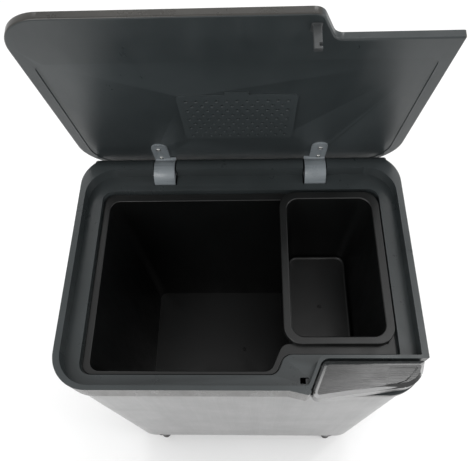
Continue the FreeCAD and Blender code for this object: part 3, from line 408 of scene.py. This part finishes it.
# The screws in the arms, and the half sizes of the two cuts that make each cross.
SCREW_X = 0.1375
SCREW_ROWS = (0.130, 0.1605)
SCREW_FACE = 0.6921
CROSS_CUTS = ((0.0024, 0.0005, 0.0012), (0.0005, 0.0024, 0.0012))
BLOCK_CORNERS = ((-1, -1, -1), (1, -1, -1), (1, 1, -1), (-1, 1, -1),
                 (-1, -1, 1), (1, -1, 1), (1, 1, 1), (-1, 1, 1))
BLOCK_FACES = [(0, 3, 2, 1), (4, 5, 6, 7), (0, 1, 5, 4), (1, 2, 6, 5), (2, 3, 7, 6), (3, 0, 4, 7)]

# The hoods over the filter cover's holes: where they stand, and each ring's reach and height.
COVER_FACE = 0.6947
HOODS_MIDDLE = 0.001
HOODS_START = -0.024
HOOD_ROWS, HOOD_COLUMNS = 9, 11
HOOD_PITCH = 0.0146
HOOD_ROW_PITCH = 0.0128
HOOD_RINGS = ((0.0036, 0.0), (0.0028, 0.0011), (0.0016, 0.0002))
HOOD_POINTS = 7

# The rings on the buckets' floors: each one's reach and its rise from the floor.
GATE_RINGS = ((0.0036, 0.0), (0.0030, 0.0007), (0.0022, 0.0007), (0.0016, 0.0001))
GATE_POINTS = 20


def paint_band(piece, open_angle):
    """Gives the outside of the rim or of the lid, which stands at open_angle, its warm tint of painted
    reflection.
    """
    back = Matrix.Rotation(math.radians(open_angle), 3, "X")
    piece.data.materials.append(MATERIALS["band_painted_reflection"])
    for face in piece.data.polygons:
        middle = back @ (face.center - HINGE) + HINGE
        normal = back @ face.normal
        x, y = abs(middle.x), abs(middle.y)
        corner = math.hypot(max(x - CORNER_X, 0), max(y - CORNER_Y, 0))
        outward = normal.x * middle.x + normal.y * middle.y > 0
        if abs(normal.z) < UPRIGHT and outward and (corner > BAND_RADIUS or y > BAND_Y):
            face.material_index = 1


def finish_bar(plate):
    """Cuts the thumb field with its slopes into the bar, and gives the sloping border a painted highlight:
    a brighter copy of the bar's steel.
    """
    cut_with(plate, *sunk(THUMB_FIELD, BAR_TOP, FIELD_DEPTH, FIELD_FLOOR_SHARE))
    plate.data.materials.append(MATERIALS["bar_border_painted_highlight"])
    for face in plate.data.polygons:
        across = FIELD_X[0] < face.center.x < FIELD_X[1]
        along = FIELD_Y[0] < face.center.y < FIELD_Y[1]
        sloping = BORDER_SLOPE[0] < face.normal.z < BORDER_SLOPE[1]
        if sloping and not (across and along):
            face.material_index = 1


for name, width in (("rim_frame", 0.0013), ("lid_liner", 0.0008), ("hinge_arm_left", 0.0007),
                    ("hinge_arm_right", 0.0007), ("touch_bar_plate", 0.0005), ("lid_striker", 0.0007)):
    shown = softened(name, width)
    if name == "rim_frame":
        paint_band(shown, 0)
    if name == "lid_liner":
        paint_band(shown, LID_ANGLE)
    if name == "touch_bar_plate":
        finish_bar(shown)


def to_open(point):
    """Where a point of the closed lid is when the lid stands open."""
    return HINGE + Matrix.Rotation(math.radians(-LID_ANGLE), 3, "X") @ (Vector(point) - HINGE)


def block(middle, half):
    """A small block of the closed lid, carried to the open lid."""
    points = [to_open([m + s * h for m, s, h in zip(middle, signs, half)]) for signs in BLOCK_CORNERS]
    return points, BLOCK_FACES


def cross_head(side, sign):
    """The arm's screws with a cross cut into each head."""
    shown = softened("arm_screws_" + side, 0.0002)
    for y in SCREW_ROWS:
        for half in CROSS_CUTS:
            cut_with(shown, *block((sign * SCREW_X, y, SCREW_FACE), half))


def gate_mark(name, bucket, x, y, wall):
    """The little ring that the mould's gate leaves on a bucket's floor."""
    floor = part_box(bucket)[0][2] + wall
    points = []
    for reach, rise in GATE_RINGS:
        for step in range(GATE_POINTS):
            angle = math.tau * step / GATE_POINTS
            points.append((x + reach * math.cos(angle), y + reach * math.sin(angle), floor + rise))
    mark = mesh_object(name, points, ring_faces(0, len(GATE_RINGS), GATE_POINTS, closed=True))
    smooth_by_angle(mark.data, degrees=60)
    finish_with(mark, "bucket_plastic")
    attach(mark, NODES[bucket]["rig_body"])


def hood(x, y):
    """The points of one crescent hood, which lies on the side towards the hinge."""
    points = []
    for reach, drop in HOOD_RINGS:
        for step in range(HOOD_POINTS):
            angle = math.radians(180 + 180 * step / (HOOD_POINTS - 1))
            across, along = reach * math.cos(angle), reach * math.sin(angle)
            points.append(to_open((x + across, y - along, COVER_FACE - drop)))
    return points


def make_hoods():
    """The small crescent hoods over the filter cover's air holes, in staggered rows."""
    points, faces = [], []
    for row in range(HOOD_ROWS):
        for column in range(HOOD_COLUMNS - row % 2):
            x = HOODS_MIDDLE + HOOD_PITCH * (column - HOOD_COLUMNS // 2 + row % 2 / 2)
            y = HOODS_START + row * HOOD_ROW_PITCH
            faces += ring_faces(len(points), len(HOOD_RINGS), HOOD_POINTS, closed=False)
            points += hood(x, y)
    hoods = mesh_object("filter_hoods", points, faces)
    smooth_by_angle(hoods.data, degrees=60)
    finish_with(hoods, "liner_plastic")
    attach(hoods, "filter_door")


def make_bar_spring():
    """A copy of the touch bar's spring that stands on the tray, carried with the bin in place of the CAD
    node.
    """
    spring = bpy.data.objects.new("bar_spring_shown", NODES["touch_bar_spring"].data.copy())
    bpy.context.scene.collection.objects.link(spring)
    finish_with(spring, SLOT["touch_bar_spring"])
    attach(spring, "bin")
    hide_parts("touch_bar_spring")
    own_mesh(spring)


make_bar_spring()
make_hoods()
cross_head("left", -1)
cross_head("right", 1)
gate_mark("caddy_gate", "caddy_bucket", x=0.152, y=0.003, wall=0.0022)
gate_mark("main_gate", "main_bucket", x=0.001, y=-0.021, wall=0.0025)


# ---------------------------------------------------------------- light and floor
def area_light(name, place, target, size, power):
    """A white rectangular light at place, facing target."""
    data = bpy.data.lights.new(name, "AREA")
    data.shape = "RECTANGLE"
    data.size, data.size_y = size
    data.energy = power
    light = bpy.data.objects.new(name, data)
    bpy.context.scene.collection.objects.link(light)
    light.location = place
    light.rotation_mode = "QUATERNION"
    light.rotation_quaternion = (Vector(target) - Vector(place)).to_track_quat("-Z", "Y")


def make_floor():
    """The white ground that the bin stands on."""
    half = 6.0
    corners = [(-half, -half, 0), (half, -half, 0), (half, half, 0), (-half, half, 0)]
    floor = mesh_object("floor", corners, [(0, 1, 2, 3)])
    paint = Paint("floor", 0.6)
    soft = paint.noise((2, 2, 2), 3)
    paint.colour(paint.blend(paint.spread(soft, 0, 1), (0.93, 0.93, 0.93), (0.97, 0.97, 0.97)))
    floor.data.materials.append(paint.material)


def make_world(strength):
    """An even white surrounding."""
    world = bpy.data.worlds.new("world")
    world.use_nodes = True
    background = world.node_tree.nodes["Background"]
    background.inputs["Color"].default_value = (1, 1, 1, 1)
    background.inputs["Strength"].default_value = strength
    bpy.context.scene.world = world


make_floor()
make_world(strength=0.75)
bpy.context.scene.view_settings.view_transform = "Standard"
area_light("key", place=(-1.2, -1.6, 2.6), target=(0, 0, 0.6), size=(1.6, 1.2), power=26)
area_light("top", place=(0.0, 1.9, 2.6), target=(0, 0, 0.7), size=(2.4, 0.9), power=26)
area_light("strip", place=(0.98, 0.36, 3.0), target=(0.2, -0.17, 0.69), size=(0.12, 1.6), power=7)
area_light("side", place=(2.4, -0.4, 1.6), target=(0, 0, 0.6), size=(0.8, 1.6), power=14)
